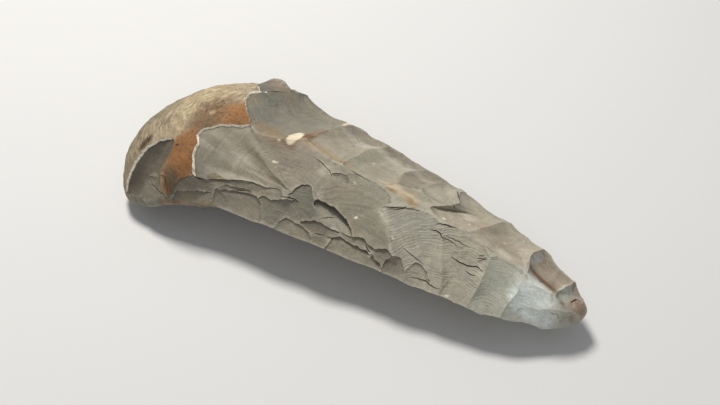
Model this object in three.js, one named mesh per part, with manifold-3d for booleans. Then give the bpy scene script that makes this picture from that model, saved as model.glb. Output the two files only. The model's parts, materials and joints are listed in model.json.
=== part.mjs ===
// A flint hand axe, one stone: a pointed blade flaked from a nodule, with the nodule's rind left on its butt.
// Millimetres. +X runs from the butt to the tip, +Y to the far edge, and the axe lies on its lower face at Z = 0.
// It is made the way a knapper makes it. First comes a smooth rough-out of the nodule. Then every flake is
// struck off with a cutter whose underside is the shallow bowl that the flake leaves, and a small flat
// worn on the lower face gives the stone its resting face.
import * as THREE from 'three';
import { mergeVertices } from 'three/addons/utils/BufferGeometryUtils.js';
import Module from 'manifold-3d';

const wasm = await Module();
wasm.setup();

// ---------------------------------------------------------------- driving sizes
const BUTT = -98;                 // x of the butt's end
const TIP = 117;                  // x of the point
const BUTT_BLUNTNESS = 3.0;       // how full the two ends are: 2 is an ellipse, more is blunter
const TIP_BLUNTNESS = 2.9;

// The nodule's cross-sections along its length: [y, z] of its near edge, crest, far edge and keel,
// and how full it is above and below. 2 is an ellipse and 1 is a diamond, so the butt is round and the blade lean.
const SECTIONS = [
  { x: -98, near: [-65, 1], crest: [-17, 41], far: [19, 25.5], keel: [-20, 2], above: 2.3, below: 2.4 },
  { x: -84, near: [-62, 3], crest: [-14, 46.5], far: [29, 27.5], keel: [-13.5, 0.5], above: 2.1, below: 2.1 },
  { x: -68, near: [-56, 9], crest: [-7.5, 47], far: [37.5, 29], keel: [-8, -1.5], above: 1.75, below: 1.7 },
  { x: -55, near: [-49, 15.2], crest: [-5, 47.6], far: [43.5, 31.5], keel: [-6, -2.3], above: 2.05, below: 1.5 },
  { x: -42, near: [-43, 19.8], crest: [-3.5, 47.8], far: [37.5, 27], keel: [-4.5, -3], above: 1.5, below: 1.4 },
  { x: -15, near: [-39, 22.4], crest: [-4, 43.5], far: [36.5, 24], keel: [-4, -4], above: 1.42, below: 1.3 },
  { x: 20, near: [-34.4, 21.4], crest: [-4, 40.5], far: [33.5, 21], keel: [-1.5, -3], above: 1.45, below: 1.3 },
  { x: 55, near: [-30, 18.1], crest: [-3, 36.5], far: [29.5, 18], keel: [0.5, -1], above: 1.45, below: 1.2 },
  { x: 88, near: [-27.4, 13.6], crest: [0.5, 31], far: [25.5, 16.5], keel: [1.5, 0.5], above: 1.45, below: 1.2 },
  { x: 108, near: [-25.4, 10], crest: [3, 25.5], far: [20, 13], keel: [2.5, 1.5], above: 1.5, below: 1.3 },
  { x: 117, near: [-24, 8], crest: [4, 22], far: [10.5, 9.5], keel: [3, 2], above: 1.6, below: 1.4 },
];
const RINGS = 44;                 // the rough-out's mesh: cross-sections along it, and points around each
const RING_POINTS = 32;

// The flakes of the upper face, each struck at `from` and running to `to`, as plan places. `width` is across
// the run, `depth` is the bowl's, `step` is how abruptly it ends: 2 feathers out and 8 breaks off in a step.
const BUTT_FLAKES = [
  { from: [-76, -57], to: [-69, -31], width: 18, depth: 1.9, step: 3, square: 2.8, lip: 1.0 },
  { from: [-55, 28], to: [-56, 14.5], width: 19, depth: 1.0, step: 3, lip: 1.0 },
  { from: [-55, 43], to: [-55, 27], width: 22, depth: 0.8, step: 3 },
];
const FAR_FLAKES = [
  { from: [-31, 38], to: [-33, -12], width: 36, depth: 1.5, step: 3, square: 3.2, lip: 1.0 },
  { from: [-4, 37], to: [-6, -6], width: 28, depth: 1.2 },
  { from: [15, 35], to: [16, -7], width: 28, depth: 1.2 },
  { from: [34, 33], to: [32, -2], width: 16, depth: 0.9 },
  { from: [42, 31], to: [44, 1], width: 14, depth: 0.7, step: 3 },
  { from: [61, 30], to: [58, -5], width: 24, depth: 1.0, step: 3 },
  { from: [79, 27], to: [79, -5], width: 25, depth: 0.9 },
  { from: [99, 21], to: [98, -5], width: 18, depth: 1.1, step: 3, square: 3 },
  { from: [112, 9], to: [108, -3], width: 9, depth: 0.4 },
];
const NEAR_FLAKES = [
  { from: [-10, -36], to: [-14, -5], width: 40, depth: 0.8 },
  { from: [24, -36], to: [17, -7], width: 38, depth: 1.1, square: 3 },
  { from: [74, -30], to: [66, -5], width: 24, depth: 1.1, step: 3 },
  { from: [86, -26], to: [86, -5], width: 18, depth: 0.8 },
  { from: [100, -21], to: [99, -5], width: 16, depth: 0.5 },
  { from: [-5, -26], to: [-55, -25], width: 27, depth: 2.4, step: 3, square: 2.8, lip: 1.0 },
  { from: [62, -31], to: [41, -8], width: 26, depth: 1.3, step: 3 },
  { from: [108, -18], to: [108, -7], width: 19, depth: 0.4 },
];
// The short stepped flakes that trim the near edge, row over row.
const EDGE_STEPS = [
  { from: [-47, -49], to: [-44, -37], width: 26, depth: 1.1, step: 8, square: 3.4, lip: 1.4 },
  { from: [-23, -45], to: [-22, -28.5], width: 30, depth: 1.2, step: 8, square: 3.4, lip: 1.4 },
  { from: [1, -38], to: [-2, -20], width: 12, depth: 1.3, step: 6, lip: 1.4 },
  { from: [12, -32], to: [15, -22], width: 20, depth: 2.4, step: 10, lip: 1.4 },
  { from: [-8, -42], to: [-9, -29.5], width: 20, depth: 1.0, step: 8, lip: 1.4 },
  { from: [14, -38], to: [12, -28], width: 20, depth: 0.9, step: 8, lip: 1.4 },
  { from: [28, -37], to: [28, -25.5], width: 19, depth: 1.3, step: 8, lip: 1.4 },
  { from: [40, -33], to: [40, -25.3], width: 11, depth: 1.2, step: 6, lip: 1.4 },
  { from: [-26, -46], to: [-26, -32], width: 25, depth: 1.6, step: 8, lip: 1.4 },
  { from: [2, -41], to: [2, -32.4], width: 16, depth: 1.2, step: 8, lip: 1.4 },
  { from: [30, -38], to: [30, -28], width: 27, depth: 1.5, step: 8, square: 3.2, lip: 1.4 },
  { from: [47, -32], to: [46, -24.8], width: 10, depth: 0.9, step: 5, lip: 1.4 },
  { from: [57, -31], to: [57, -22], width: 11, depth: 0.9, step: 6, lip: 1.4 },
];

// The plainer lower face: a row of broad flakes from either edge, and small ones that trim both edges.
const BELOW = { first: -62, last: 90, count: 7, reach: 0.98, depth: 1.1 };
const TRIM = { first: -50, last: 100, spacing: 12, width: 10, reach: 6, depth: 0.3 };

// ---------------------------------------------------------------- the rough-out
const unitSign = (value) => (value < 0 ? -1 : 1);

// A smooth curve through the values that the sections give at their own x.
function along(x, valueOf) {
  const last = SECTIONS.length - 1;
  const slope = (i) => (valueOf(SECTIONS[i + 1]) - valueOf(SECTIONS[i])) / (SECTIONS[i + 1].x - SECTIONS[i].x);
  const tangent = (i) => {
    if (i === 0) return slope(0);
    if (i === last) return slope(last - 1);
    const before = SECTIONS[i].x - SECTIONS[i - 1].x;
    const after = SECTIONS[i + 1].x - SECTIONS[i].x;
    return (slope(i - 1) * after + slope(i) * before) / (before + after);
  };
  const place = THREE.MathUtils.clamp(x, BUTT, TIP);
  let i = SECTIONS.findIndex((section) => section.x > place) - 1;
  if (i < 0) i = last - 1;
  const span = SECTIONS[i + 1].x - SECTIONS[i].x;
  const t = (place - SECTIONS[i].x) / span;
  return (1 + 2 * t) * (1 - t) ** 2 * valueOf(SECTIONS[i]) + t * (1 - t) ** 2 * span * tangent(i)
    + t * t * (3 - 2 * t) * valueOf(SECTIONS[i + 1]) + t * t * (t - 1) * span * tangent(i + 1);
}

// How far the section at x has shrunk towards the axis: 1 along the body, 0 at either end.
function taper(x) {
  const u = (2 * x - BUTT - TIP) / (TIP - BUTT);
  const bluntness = u < 0 ? BUTT_BLUNTNESS : TIP_BLUNTNESS;
  return Math.max(0, 1 - Math.abs(u) ** bluntness) ** (1 / bluntness);
}

function sectionAt(x) {
  const pair = (name) => [along(x, (s) => s[name][0]), along(x, (s) => s[name][1])];
  const near = pair('near');
  const far = pair('far');
  return {
    near, far, crest: pair('crest'), keel: pair('keel'), shrink: taper(x),
    above: along(x, (s) => s.above), below: along(x, (s) => s.below), axisZ: (near[1] + far[1]) / 2 + 2,
  };
}

// The rough-out's skin at x. Angle 0 is the far edge, a quarter turn the crest, a half the near edge.
function skin(x, angle) {
  const s = sectionAt(x);
  const [side, up] = [Math.cos(angle), Math.sin(angle)];
  const fullness = up > 0 ? s.above : s.below;
  const edge = side > 0 ? s.far : s.near;
  const spine = up > 0 ? s.crest : s.keel;
  const y = spine[0] + (edge[0] - spine[0]) * Math.abs(side) ** (2 / fullness);
  const z = edge[1] + (spine[1] - edge[1]) * Math.abs(up) ** (2 / fullness);
  return new THREE.Vector3(x, s.crest[0] + (y - s.crest[0]) * s.shrink, s.axisZ + (z - s.axisZ) * s.shrink);
}

// The point of the upper or lower skin over a plan place. Beyond the edge it keeps the edge's height.
function onFace([x, y], upper = true) {
  const s = sectionAt(x);
  const shrink = Math.max(s.shrink, 0.05);
  const spine = upper ? s.crest : s.keel;
  const grownY = s.crest[0] + (y - s.crest[0]) / shrink;
  const edge = grownY > spine[0] ? s.far : s.near;
  const fullness = upper ? s.above : s.below;
  const share = Math.min(1, Math.abs((grownY - spine[0]) / (edge[0] - spine[0])));
  const z = edge[1] + (spine[1] - edge[1]) * (1 - share ** fullness) ** (1 / fullness);
  return new THREE.Vector3(x, y, s.axisZ + (z - s.axisZ) * shrink);
}

// A closed mesh from rings of points, with a point at each end.
function ringsToGeometry(rings, first, last) {
  const count = rings[0].length;
  const points = [...rings.flat(), first, last];
  const faces = [];
  for (let j = 0; j < count; j += 1) {
    const k = (j + 1) % count;
    for (let i = 0; i < rings.length - 1; i += 1) {
      const [a, b, c, d] = [i * count + j, (i + 1) * count + j, (i + 1) * count + k, i * count + k];
      faces.push(a, c, b, a, d, c);
    }
    faces.push(points.length - 2, k, j);
    faces.push(points.length - 1, (rings.length - 1) * count + j, (rings.length - 1) * count + k);
  }
  const geometry = new THREE.BufferGeometry().setFromPoints(points);
  geometry.setIndex(faces);
  return geometry;
}

function roughOut() {
  const rings = [];
  for (let i = 1; i < RINGS; i += 1) {
    // the rings crowd towards the ends, where the form turns in
    const u = i / RINGS;
    const x = BUTT + (TIP - BUTT) * (0.55 * u + 0.45 * (1 - Math.cos(Math.PI * u)) / 2);
    rings.push(Array.from({ length: RING_POINTS }, (_, j) => skin(x, 2 * Math.PI * j / RING_POINTS)));
  }
  return ringsToGeometry(rings, skin(BUTT, 0), skin(TIP, 0));
}

// ---------------------------------------------------------------- flakes
const CUTTER_HEIGHT = 60;         // clear of the whole stone
const FLARE_HEIGHT = 5;           // a cutter's rim rises this much more past the scar's own edge
const FEATHER_RISE = 0.55;        // the slope of that rise where a flake feathers out, and where it breaks in a step
const STEP_RISE = 2.2;
const BULB = 0.36;                // the deepest place, as a share of the run, near the strike
const SCAR_RINGS = { large: [0.45, 0.75, 0.9, 1], small: [0.65, 1] };
const SMALL_SCAR = 12;            // a scar narrower than this gets the coarser mesh

// The cutter of one flake, standing on the chord between its two ends. Its underside is the scar.
function flake({ from, to, width, depth, step = 2, square = 2.6, lip = FEATHER_RISE }, upper = true) {
  const start = onFace(from, upper);
  const end = onFace(to, upper);
  const run = end.clone().sub(start);
  const length = run.length();
  const ahead = run.normalize();
  const middle = start.clone().lerp(end, 0.5);
  const s = sectionAt(middle.x);
  const out = new THREE.Vector3((middle.x - (BUTT + TIP) / 2) * 0.05, middle.y - s.crest[0], middle.z - s.axisZ);
  out.addScaledVector(ahead, -out.dot(ahead)).normalize();
  const across = new THREE.Vector3().crossVectors(out, ahead);
  const centre = start.clone().addScaledVector(ahead, length * BULB);

  const place = (forward, sideways, height) => centre.clone()
    .addScaledVector(ahead, forward).addScaledVector(across, sideways).addScaledVector(out, height);
  const small = width < SMALL_SCAR;
  const sectors = small ? 10 : 18;
  const ringAt = (pointOf) => Array.from({ length: sectors }, (_, j) => {
    const angle = 2 * Math.PI * j / sectors;
    const [forward, sideways] = [Math.cos(angle), Math.sin(angle)];
    const reach = (Math.abs(forward) ** square + Math.abs(sideways) ** square) ** (-1 / square);
    const halfRun = forward > 0 ? length * (1 - BULB) : length * BULB;
    const abrupt = Math.max(0, forward) ** 2;
    return pointOf(forward * reach, sideways * reach, halfRun, abrupt);
  });
  const bowl = (small ? SCAR_RINGS.small : SCAR_RINGS.large).map((rho) => ringAt((forward, sideways, halfRun, abrupt) => {
    const height = depth * (rho ** (2 + (step - 2) * abrupt) - 1);
    return place(forward * halfRun * rho, sideways * width / 2 * rho, height);
  }));
  const rim = (height) => ringAt((forward, sideways, halfRun, abrupt) => {
    const rise = lip + (STEP_RISE - lip) * abrupt * Math.min(1, (step - 2) / 6);
    const flareRun = FLARE_HEIGHT / rise;
    return place(forward * (halfRun + flareRun), sideways * (width / 2 + flareRun), height ?? flareRun * rise);
  });
  const rings = [...bowl, rim(), rim(CUTTER_HEIGHT)];
  return ringsToGeometry(rings, place(0, 0, -depth), place(0, 0, CUTTER_HEIGHT));
}

// ---------------------------------------------------------------- booleans
function toSolid(geometry) {
  geometry.deleteAttribute('normal');
  geometry.deleteAttribute('uv');
  const merged = mergeVertices(geometry);
  const vertProperties = new Float32Array(merged.attributes.position.array);
  const triVerts = new Uint32Array(merged.index.array);
  const solid = new wasm.Manifold(new wasm.Mesh({ numProp: 3, vertProperties, triVerts }));
  if (solid.volume() < 0) throw new Error('a cutter is inside out');
  return solid;
}

function toGeometry(solid) {
  const mesh = solid.getMesh();
  const geometry = new THREE.BufferGeometry();
  geometry.setAttribute('position', new THREE.BufferAttribute(mesh.vertProperties, 3));
  geometry.setIndex(new THREE.BufferAttribute(mesh.triVerts, 1));
  geometry.computeVertexNormals();
  return geometry;
}

// ---------------------------------------------------------------- the axe
// A fixed, uneven share between 0 and 1 for each flake of a row, so that no two are alike.
const uneven = (i, salt) => {
  const value = Math.sin(i * 12.9898 + salt * 78.233) * 43758.5453;
  return value - Math.floor(value);
};

// The plan place on the rough-out's edge at x, moved outwards by `beyond`.
function edgeAt(x, side, beyond = 0) {
  const s = sectionAt(x);
  const edge = side === 'near' ? s.near[0] : s.far[0];
  return [x, s.crest[0] + (edge - s.crest[0]) * s.shrink + unitSign(edge) * beyond];
}

function lowerFlakes() {
  const flakes = [];
  for (const [salt, side] of [[1, 'near'], [2, 'far']]) {
    const gap = (BELOW.last - BELOW.first) / (BELOW.count - 1);
    for (let i = 0; i < BELOW.count; i += 1) {
      const x = BELOW.first + gap * (i + (side === 'far' ? 0.35 : 0) + 0.3 * (uneven(i, salt) - 0.5));
      const s = sectionAt(x);
      const from = edgeAt(x, side, 1);
      const to = [x - 5 * (uneven(i, salt + 3) - 0.5), from[1] + (s.keel[0] - from[1]) * BELOW.reach];
      flakes.push({ from, to, width: gap * (1 + 0.3 * uneven(i, salt + 5)), depth: BELOW.depth, step: 3 });
    }
  }
  return flakes;
}

function trimFlakes(side, salt) {
  const flakes = [];
  for (let x = TRIM.first; x < TRIM.last; x += TRIM.spacing * (0.75 + 0.5 * uneven(x, salt))) {
    const from = edgeAt(x, side, 1);
    const reach = TRIM.reach * (0.7 + 0.6 * uneven(x, salt + 1));
    const to = [x - 2, from[1] - unitSign(from[1]) * reach];
    flakes.push({ from, to, width: TRIM.width * (0.7 + 0.6 * uneven(x, salt + 2)), depth: TRIM.depth, step: 4 });
  }
  return flakes;
}

function handAxe() {
  const above = [...BUTT_FLAKES, ...FAR_FLAKES, ...NEAR_FLAKES, ...EDGE_STEPS, ...trimFlakes('far', 11)];
  const beneath = [...lowerFlakes(), ...trimFlakes('near', 31)];
  let stone = toSolid(roughOut());
  for (const scar of above) stone = stone.subtract(toSolid(flake(scar, true)));
  for (const scar of beneath) stone = stone.subtract(toSolid(flake(scar, false)));
  const ground = new THREE.BoxGeometry(300, 200, 20).translate(0, 0, -10);
  return toGeometry(stone.subtract(toSolid(ground)));
}

const flint = new THREE.MeshStandardMaterial({ color: 0x8a8474, roughness: 0.6, metalness: 0 });
const axe = new THREE.Mesh(handAxe(), flint);
axe.name = 'hand_axe';

const group = new THREE.Group();
group.add(axe);
export default group;
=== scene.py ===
"""A flint hand axe lying on its lower face: one stone, flaked from a nodule, with the rind on its butt."""
import json
import math

import bpy
import numpy as np
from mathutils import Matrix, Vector
from mathutils.bvhtree import BVHTree

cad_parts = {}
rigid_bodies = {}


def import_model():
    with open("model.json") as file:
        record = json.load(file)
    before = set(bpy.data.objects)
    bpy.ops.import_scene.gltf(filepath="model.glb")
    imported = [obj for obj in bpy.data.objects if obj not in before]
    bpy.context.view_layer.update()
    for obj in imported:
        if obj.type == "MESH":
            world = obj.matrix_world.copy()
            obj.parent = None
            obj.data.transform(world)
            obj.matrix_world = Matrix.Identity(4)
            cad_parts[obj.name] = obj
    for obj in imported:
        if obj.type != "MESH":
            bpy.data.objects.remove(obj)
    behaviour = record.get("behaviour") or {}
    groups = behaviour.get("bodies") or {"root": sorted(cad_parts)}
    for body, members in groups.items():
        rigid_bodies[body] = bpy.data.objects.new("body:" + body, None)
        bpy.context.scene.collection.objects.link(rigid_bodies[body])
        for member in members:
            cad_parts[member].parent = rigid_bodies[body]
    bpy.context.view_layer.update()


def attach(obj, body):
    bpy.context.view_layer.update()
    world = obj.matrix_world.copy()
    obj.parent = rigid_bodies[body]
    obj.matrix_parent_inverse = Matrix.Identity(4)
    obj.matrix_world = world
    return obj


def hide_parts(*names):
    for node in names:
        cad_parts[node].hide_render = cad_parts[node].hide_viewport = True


bpy.ops.wm.read_factory_settings(use_empty=True)
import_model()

# ------------------------------------------------------------------ the nodule
# The stone before knapping: a nodule of flint roughed out to a pointed blade with a round butt.
# Its skin is the white-rinded outside that the chalk left. Only the butt keeps it, with its
# fibrous weathered grain, as fine relief in the mesh.
MM = 0.001
BUTT, TIP = -98.0, 117.0
BUTT_BLUNTNESS, TIP_BLUNTNESS = 3.0, 2.9
SECTIONS = {
    "x": [-98, -84, -68, -55, -42, -15, 20, 55, 88, 108, 117],
    "near_y": [-65, -62, -56, -49, -43, -39, -34.4, -30, -27.4, -25.4, -24],
    "near_z": [1, 3, 9, 15.2, 19.8, 22.4, 21.4, 18.1, 13.6, 10, 8],
    "crest_y": [-17, -14, -7.5, -5, -3.5, -4, -4, -3, 0.5, 3, 4],
    "crest_z": [41, 46.5, 47, 47.6, 47.8, 43.5, 40.5, 36.5, 31, 25.5, 22],
    "far_y": [19, 29, 37.5, 43.5, 37.5, 36.5, 33.5, 29.5, 25.5, 20, 10.5],
    "far_z": [25.5, 27.5, 29, 31.5, 27, 24, 21, 18, 16.5, 13, 9.5],
    "keel_y": [-20, -13.5, -8, -6, -4.5, -4, -1.5, 0.5, 1.5, 2.5, 3],
    "keel_z": [2, 0.5, -1.5, -2.3, -3, -4, -3, -1, 0.5, 1.5, 2],
    "above": [2.3, 2.1, 1.75, 2.05, 1.5, 1.42, 1.45, 1.45, 1.45, 1.5, 1.6],
    "below": [2.4, 2.1, 1.7, 1.5, 1.4, 1.3, 1.3, 1.2, 1.2, 1.3, 1.4],
}


def along(x, name):
    """A smooth curve along the axe through the sections' own values."""
    xs = np.array(SECTIONS["x"], float)
    values = np.array(SECTIONS[name], float)
    spans = np.diff(xs)
    slopes = np.diff(values) / spans
    tangents = np.concatenate([slopes[:1], (slopes[:-1] * spans[1:] + slopes[1:] * spans[:-1])
                               / (spans[:-1] + spans[1:]), slopes[-1:]])
    x = np.clip(x, BUTT, TIP)
    i = np.clip(np.searchsorted(xs, x, side="right") - 1, 0, len(spans) - 1)
    t = (x - xs[i]) / spans[i]
    return ((1 + 2 * t) * (1 - t) ** 2 * values[i] + t * (1 - t) ** 2 * spans[i] * tangents[i]
            + t * t * (3 - 2 * t) * values[i + 1] + t * t * (t - 1) * spans[i] * tangents[i + 1])


def taper(x):
    """How far the section has shrunk towards the axis: 1 along the body, 0 at either end."""
    u = (2 * x - BUTT - TIP) / (TIP - BUTT)
    bluntness = np.where(u < 0, BUTT_BLUNTNESS, TIP_BLUNTNESS)
    return np.clip(1 - np.abs(u) ** bluntness, 0, 1) ** (1 / bluntness)


def axis_height(x):
    return (along(x, "near_z") + along(x, "far_z")) / 2 + 2


def skin(x, angle):
    """The nodule's skin. Angle 0 is the far edge, a quarter turn the crest, a half turn the near edge."""
    side, up = np.cos(angle), np.sin(angle)
    fullness = np.where(up > 0, along(x, "above"), along(x, "below"))
    edge_y = np.where(side > 0, along(x, "far_y"), along(x, "near_y"))
    edge_z = np.where(side > 0, along(x, "far_z"), along(x, "near_z"))
    spine_y = np.where(up > 0, along(x, "crest_y"), along(x, "keel_y"))
    spine_z = np.where(up > 0, along(x, "crest_z"), along(x, "keel_z"))
    y = spine_y + (edge_y - spine_y) * np.abs(side) ** (2 / fullness)
    z = edge_z + (spine_z - edge_z) * np.abs(up) ** (2 / fullness)
    middle_y, middle_z, shrink = along(x, "crest_y"), axis_height(x), taper(x)
    return np.stack([x + 0 * y, middle_y + (y - middle_y) * shrink, middle_z + (z - middle_z) * shrink], -1)


def on_face(place, upper):
    """The point of the upper or lower skin over a plan place. Beyond the edge it keeps the edge's height."""
    x, y = place
    shrink = max(float(taper(x)), 0.05)
    middle_y, middle_z = float(along(x, "crest_y")), float(axis_height(x))
    spine_y = float(along(x, "crest_y" if upper else "keel_y"))
    spine_z = float(along(x, "crest_z" if upper else "keel_z"))
    fullness = float(along(x, "above" if upper else "below"))
    grown = middle_y + (y - middle_y) / shrink
    side = "far" if grown > spine_y else "near"
    edge_y, edge_z = float(along(x, side + "_y")), float(along(x, side + "_z"))
    share = min(1, abs((grown - spine_y) / (edge_y - spine_y)))
    z = edge_z + (spine_z - edge_z) * (1 - share ** fullness) ** (1 / fullness)
    return np.array([x, y, middle_z + (z - middle_z) * shrink])


def unit(vector):
    return vector / np.linalg.norm(vector, axis=-1, keepdims=True)


def grain(points, size, seed, waves=7):
    """Soft uneven noise from -1 to 1: a sum of waves of about the given length in fixed directions."""
    dice = np.random.default_rng(seed)
    total = np.zeros(points.shape[:-1])
    for _ in range(waves):
        direction = unit(dice.normal(size=3)) / (size * dice.uniform(0.6, 1.5))
        total += np.sin(2 * np.pi * (points @ direction) + dice.uniform(0, 2 * np.pi))
    return total / math.sqrt(waves * 1.6)


def read(items, key, width=1, kind=np.float32):
    """The values of all vertices, edges, faces or corners, as rows of the given width."""
    values = np.empty(len(items) * width, kind)
    items.foreach_get(key, values)
    return values.reshape(-1, width) if width > 1 else values


def new_mesh(name, points, faces):
    mesh = bpy.data.meshes.new(name)
    mesh.from_pydata((points * MM).tolist(), [], faces)
    return bpy.data.objects.new(name, mesh)


def tube_faces(rings, count):
    """Quads between rings of points, and a fan to a last point but one at the start and a last at the end."""
    i, j = np.meshgrid(np.arange(rings - 1), np.arange(count), indexing="ij")
    k = (j + 1) % count
    quads = np.stack([i * count + j, i * count + k, (i + 1) * count + k, (i + 1) * count + j], -1)
    j = np.arange(count)
    k = (j + 1) % count
    first = np.stack([j * 0 + rings * count, k, j], -1)
    last = np.stack([j * 0 + rings * count + 1, (rings - 1) * count + j, (rings - 1) * count + k], -1)
    return quads.reshape(-1, 4).tolist() + first.tolist() + last.tolist()


RIND_END = -36.0                    # past here the skin is all knapped away above
BUTT_CAP, TIP_CAP = 14.0, 6.0       # the lengths over which the ends close, with rings crowded towards them
RIND_PITCH, BLADE_PITCH = 0.55, 2.5     # the rings' spacing under the rind, and under the blade
UPPER_POINTS, LOWER_POINTS = 250, 90    # the points of a ring, fine above and coarse below
butt_rings = BUTT + BUTT_CAP * (1 - np.cos(np.linspace(0, np.pi / 2, 34)))[1:-1]
tip_rings = TIP - TIP_CAP * (1 - np.sin(np.linspace(0, np.pi / 2, 8)))[:-1]
ring_x = np.concatenate([butt_rings, np.arange(BUTT + BUTT_CAP, RIND_END, RIND_PITCH),
                         np.arange(RIND_END, TIP - TIP_CAP, BLADE_PITCH), tip_rings])
ring_angles = np.concatenate([np.linspace(-0.12, np.pi + 0.25, UPPER_POINTS),
                              np.linspace(np.pi + 0.29, 2 * np.pi - 0.16, LOWER_POINTS)])
ring_grid = np.meshgrid(ring_x, ring_angles, indexing="ij")
nodule_points = skin(*ring_grid)
nodule_points = np.vstack([nodule_points.reshape(-1, 3), skin(np.array([BUTT, TIP]), np.zeros(2))])
nodule = new_mesh("nodule", nodule_points, tube_faces(len(ring_x), len(ring_angles)))
nodule_normals = np.zeros(len(nodule_points) * 3)
nodule.data.vertices.foreach_get("normal", nodule_normals)
nodule_normals = nodule_normals.reshape(-1, 3)

# the rind's relief: broad swells, small lumps and a fibrous grain that runs round the dome
DOME = (-44.0, -13.0)      # the middle that the fibres curl round


def round_dome(points):
    """Places measured out from the dome's middle, and round it, with the fibres' waver."""
    out = np.hypot(points[:, 0] - DOME[0], points[:, 1] - DOME[1]) - 0.7 * points[:, 2]
    turn = np.arctan2(points[:, 1] - DOME[1], points[:, 0] - DOME[0]) % (2 * np.pi) * 50
    return np.stack([out + 0.8 * grain(points, 9, 7) + 0.25 * grain(points, 3, 8), turn, 0 * turn], -1)


fibres = round_dome(nodule_points) * np.array([1, 0.14, 1])
relief = 0.55 * grain(nodule_points, 26, 1) + 0.16 * grain(nodule_points, 6, 2, 12)
relief += 0.11 * grain(fibres, 2.2, 3, 14) + 0.08 * grain(fibres, 1.2, 4, 14)
rind_share = np.clip((RIND_END + 6 - nodule_points[:, 0]) / 12, 0, 1)      # it fades out over 12 mm
nodule_points += nodule_normals * (relief * rind_share)[:, None]
nodule.data.vertices.foreach_set("co", (nodule_points * MM).astype(np.float32).ravel())
nodule.data.update()

# ------------------------------------------------------------------ the flake scars
# Every flake is knocked off from an edge with a hammer stone and leaves a shallow bowl, rippled round
# the blow, that ends in a feather or a step. The scars are cut in the order they were struck, each with
# its own cutter, and each is laid out on the stone as the scars before it left it.
CHALK, RISER, CLEFT = 1000, 2000, 3000      # added to the scar's number on faces through the rind, up a step
                                            # or in a cleft
STEPPED = 0.15                      # a rim this far below the old surface, or more, shows as a step
RIND_DROP = 0.55                    # a rim this far below the old surface runs along the rind
RIND_LIP, STEP_LIP = 1.0, 3.4       # the slope past a scar's outline: up to the rind, or up a step
UPPER_CELL, LOWER_CELL = 0.60, 1.25  # mm across the faces of a scar
blows = [{"start": np.array([0.0, 0, 0]), "name": "rind", "wave": 3.0, "ripple": 0.0,
          "ahead": np.array([1.0, 0, 0]), "across": np.array([0, 1.0, 0])}]
waiting = bpy.data.collections.new("cutters")
bpy.context.scene.collection.children.link(waiting)
bpy.context.scene.collection.objects.link(nodule)
nodule.data.attributes.new("scar", "INT", "FACE")
stone = nodule


def survey():
    """Reads the stone as it stands, so that the next scars can be laid out on it."""
    bpy.context.view_layer.update()
    return BVHTree.FromObject(stone, bpy.context.evaluated_depsgraph_get())


def on_stone(x, y, upper, bite):
    """The stone's surface over a plan place. Past the edge it is a slope running on, a bite below it."""
    way = -1.0 if upper else 1.0
    middle = float(along(x, "crest_y"))
    beyond = 0.0
    while beyond < 30:
        place = (x * MM, (y - math.copysign(beyond, y - middle)) * MM, -way * 0.2)
        hit = surface.ray_cast(place, (0, 0, way))[0]
        if hit is not None:
            break
        beyond += 0.5
    height = hit.z / MM if hit is not None else 20.0
    return np.array([x, y, height + (way * (0.8 * beyond + bite) if beyond else 0)])


def closed_curve(places, pitch):
    """Even steps along a smooth closed curve through the places, with each place's further values."""
    places = np.array(places, float)
    around = [np.roll(places, shift, 0) for shift in (1, 0, -1, -2)]
    t = np.linspace(0, 1, 25)[:-1][None, :, None]
    a, b, c, d = (k[:, None, :] for k in around)
    dense = 0.5 * (2 * b + (c - a) * t + (2 * a - 5 * b + 4 * c - d) * t * t
                   + (3 * b - a - 3 * c + d) * t ** 3)
    dense = dense.reshape(-1, places.shape[1])
    closed = np.vstack([dense, dense[:1]])
    run = np.concatenate([[0], np.cumsum(np.linalg.norm(np.diff(closed[:, :2], axis=0), axis=1))])
    steps = np.linspace(0, run[-1], max(12, int(run[-1] / pitch)) + 1)[:-1]
    return np.stack([np.interp(steps, run, closed[:, k]) for k in range(places.shape[1])], -1)


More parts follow.
